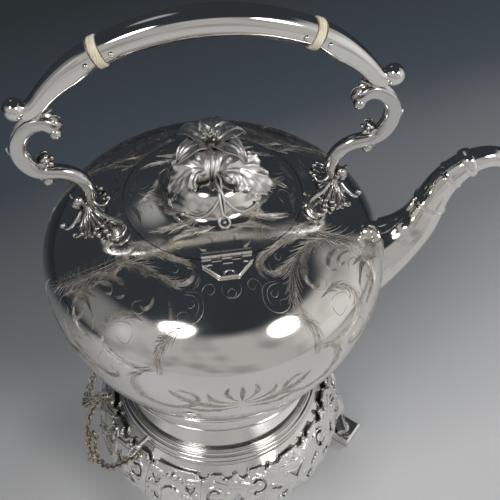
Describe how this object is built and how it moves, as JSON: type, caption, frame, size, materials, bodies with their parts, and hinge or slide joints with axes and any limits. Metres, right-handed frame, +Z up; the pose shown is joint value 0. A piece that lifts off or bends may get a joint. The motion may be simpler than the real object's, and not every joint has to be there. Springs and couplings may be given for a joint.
{
  "type": "spirit kettle on stand",
  "caption": "Round silver spirit kettle with hinged flower-finial lid, swan-neck spout and arched handle, on a pierced stand with spirit burner.",
  "frame": {"origin": "on the kettle's vertical axis, at the level of the table that the feet stand on", "axes": "+Z up, +X towards the spout, -Y towards the lid's hinge"},
  "size_m": [0.2966, 0.2186, 0.4272],
  "materials": {
    "silver": "polished silver with hand engraving",
    "ivory": "smooth cream insulator",
    "wick": "woven cotton"
  },
  "bodies": {
    "stand": {"stand_ring": "silver", "stand_shoulder": "silver", "apron_panel_1": "silver", "apron_panel_2": "silver", "apron_panel_3": "silver", "apron_corner_1": "silver", "apron_corner_2": "silver", "apron_corner_3": "silver", "leg_1": "silver", "leg_2": "silver", "leg_3": "silver", "leg_foot_1": "silver", "leg_foot_2": "silver", "leg_foot_3": "silver", "tilt_lugs_stand": "silver", "tilt_pin": "silver", "chain_eye": "silver", "chain_left": "silver", "chain_right": "silver", "burner_ring": "silver", "burner_arm_1": "silver", "burner_arm_2": "silver", "burner_arm_3": "silver", "frame_screws": "silver"},
    "kettle": {"kettle_body": "silver", "lid_seat_ring": "silver", "kettle_foot": "silver", "spout": "silver", "spout_collar": "silver", "hinge_leaf_body": "silver", "lid_hinge_pin": "silver", "handle_grip": "silver", "handle_rivets": "silver", "handle_ring_right": "ivory", "handle_ring_left": "ivory", "handle_end_right": "silver", "handle_end_left": "silver", "handle_scroll_right": "silver", "handle_scroll_left": "silver", "handle_mount_right": "silver", "handle_mount_left": "silver", "tilt_lug_kettle": "silver"},
    "lid_body": {"lid": "silver", "lid_bezel": "silver", "hinge_leaf_lid": "silver", "finial_flower": "silver", "finial_leaves": "silver", "finial_stem": "silver", "finial_nut": "silver"},
    "burner": {"burner_bowl": "silver", "burner_top": "silver", "wick_tube": "silver", "wick": "wick", "cap_bracket": "silver", "cap_pin": "silver"},
    "snuffer": {"snuffer_cap": "silver"},
    "pin_left": {"lock_pin_left": "silver"},
    "pin_right": {"lock_pin_right": "silver"}
  },
  "joints": [
    {"name": "kettle_tilt", "type": "hinge", "parent": "stand", "child": "kettle", "pos_m": [0.0805, 0, 0.1285], "axis": [0, 1, 0], "range_deg": [0, 55]},
    {"name": "lid_hinge", "type": "hinge", "parent": "kettle", "child": "lid_body", "pos_m": [0, -0.05, 0.3123], "axis": [1, 0, 0], "range_deg": [0, 105]},
    {"name": "pin_left_slide", "type": "slide", "parent": "stand", "child": "pin_left", "axis": [0.7771, 0.6293, 0], "range_m": [0, 0.005]},
    {"name": "pin_right_slide", "type": "slide", "parent": "stand", "child": "pin_right", "axis": [0.7771, -0.6293, 0], "range_m": [0, 0.005]},
    {"name": "burner_lift", "type": "slide", "parent": "stand", "child": "burner", "axis": [0, 0, 1], "range_m": [0, 0.045]},
    {"name": "snuffer_hinge", "type": "hinge", "parent": "burner", "child": "snuffer", "pos_m": [0.0145, 0, 0.0745], "axis": [0, 1, 0], "range_deg": [0, 110]}
  ]
}
